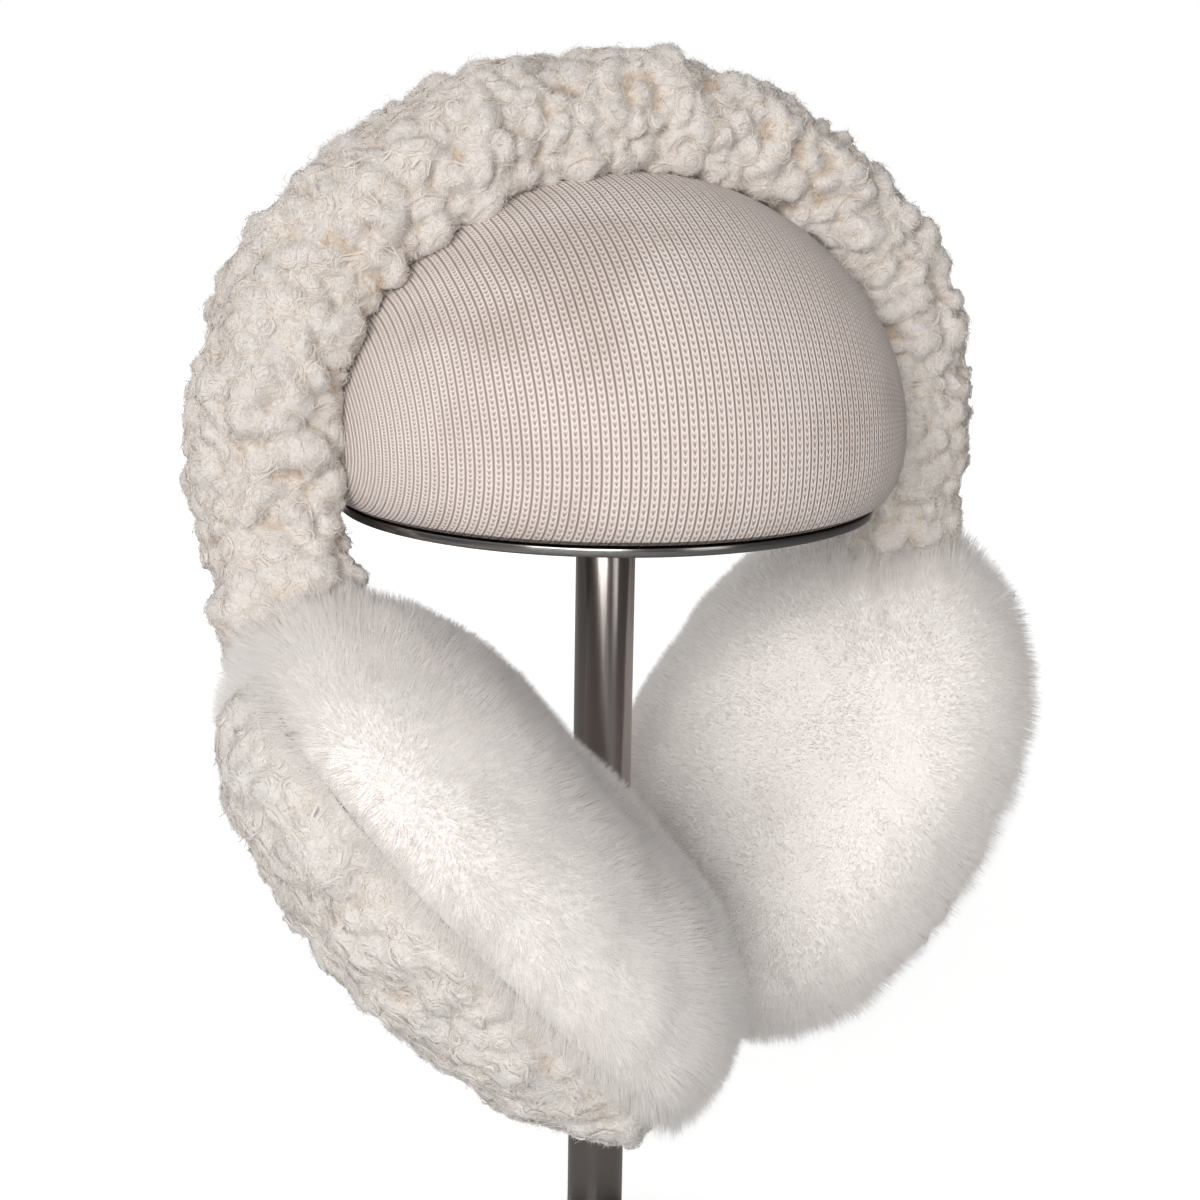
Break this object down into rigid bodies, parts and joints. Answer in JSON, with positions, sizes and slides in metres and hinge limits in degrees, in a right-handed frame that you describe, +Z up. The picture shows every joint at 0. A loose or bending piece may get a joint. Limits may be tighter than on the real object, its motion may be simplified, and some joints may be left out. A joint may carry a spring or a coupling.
{
  "type": "fur earmuffs on a padded stand",
  "caption": "Shearling headband arch with large oval plush ear pads, hung over a rib-knit padded dome on a steel post with a round base.",
  "frame": {"origin": "centre of the round base's underside, on the post's axis", "axes": "+Z up along the post, -Y towards the earmuffs' front, +X towards the right of someone who looks at the front"},
  "size_m": [0.2323, 0.1714, 0.3548],
  "materials": {
    "shearling": "cream faux shearling in tight soft curls, matt",
    "plush": "dense short cream plush fur, soft sheen at its tips",
    "rib_knit": "fine ribbed jersey knit in warm cream, matt",
    "steel": "brushed stainless steel, satin"
  },
  "bodies": {
    "root": {"headband": "shearling", "ear_shell_left": "shearling", "ear_shell_right": "shearling", "ear_cushion_left": "plush", "ear_cushion_right": "plush", "padded_dome": "rib_knit", "stand_plate": "steel", "stand_post": "steel", "stand_base": "steel"}
  },
  "joints": []
}
